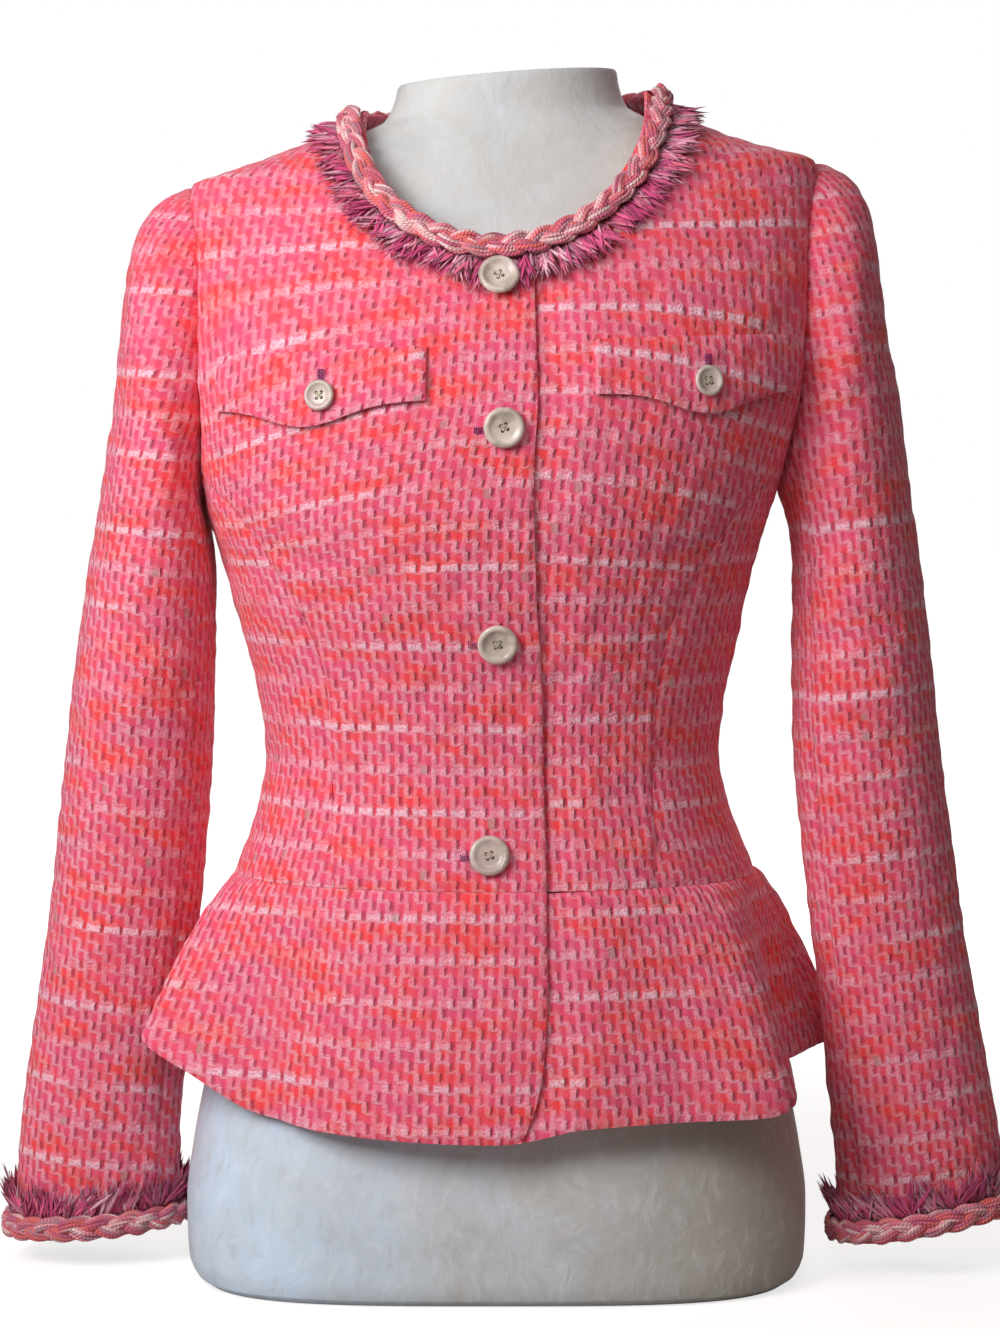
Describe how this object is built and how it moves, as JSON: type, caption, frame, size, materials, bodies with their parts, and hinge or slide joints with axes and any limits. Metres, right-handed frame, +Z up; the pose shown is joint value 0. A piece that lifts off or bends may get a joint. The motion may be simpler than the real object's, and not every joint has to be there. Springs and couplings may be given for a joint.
{
  "type": "peplum jacket on dress form",
  "caption": "Fitted, buttoned round-neck jacket with a flared peplum, pointed pocket flaps, and plaited and fringed neck and cuffs, standing on a limbless dress form.",
  "frame": {"origin": "middle of the dress form's flat base, in the base plane", "axes": "+Z up through the form, -Y out of the jacket's front, +X towards the wearer's left"},
  "size_m": [0.609, 0.288, 0.7113],
  "materials": {
    "tweed": "thick pink and coral boucle tweed with pale and wine yarns",
    "braid_yarn": "plaited yarns in cream, coral and pink",
    "fringe_yarn": "frayed yarn ends in magenta, pink and coral",
    "button_resin": "pale translucent resin, semi-gloss",
    "form_velvet": "pale grey crushed velvet"
  },
  "bodies": {
    "root": {"dress_form": "form_velvet", "centre_front_right": "tweed", "centre_front_left": "tweed", "side_front_right": "tweed", "side_front_left": "tweed", "side_back_right": "tweed", "side_back_left": "tweed", "centre_back_right": "tweed", "centre_back_left": "tweed", "peplum_front_right": "tweed", "peplum_front_left": "tweed", "peplum_back": "tweed", "top_sleeve_right": "tweed", "top_sleeve_left": "tweed", "under_sleeve_right": "tweed", "under_sleeve_left": "tweed", "pocket_flap_right": "tweed", "pocket_flap_left": "tweed", "front_button_1": "button_resin", "front_button_2": "button_resin", "front_button_3": "button_resin", "front_button_4": "button_resin", "pocket_button_right": "button_resin", "pocket_button_left": "button_resin", "neck_braid": "braid_yarn", "cuff_braid_right": "braid_yarn", "cuff_braid_left": "braid_yarn", "neck_fringe": "fringe_yarn", "cuff_fringe_right": "fringe_yarn", "cuff_fringe_left": "fringe_yarn"}
  },
  "joints": []
}
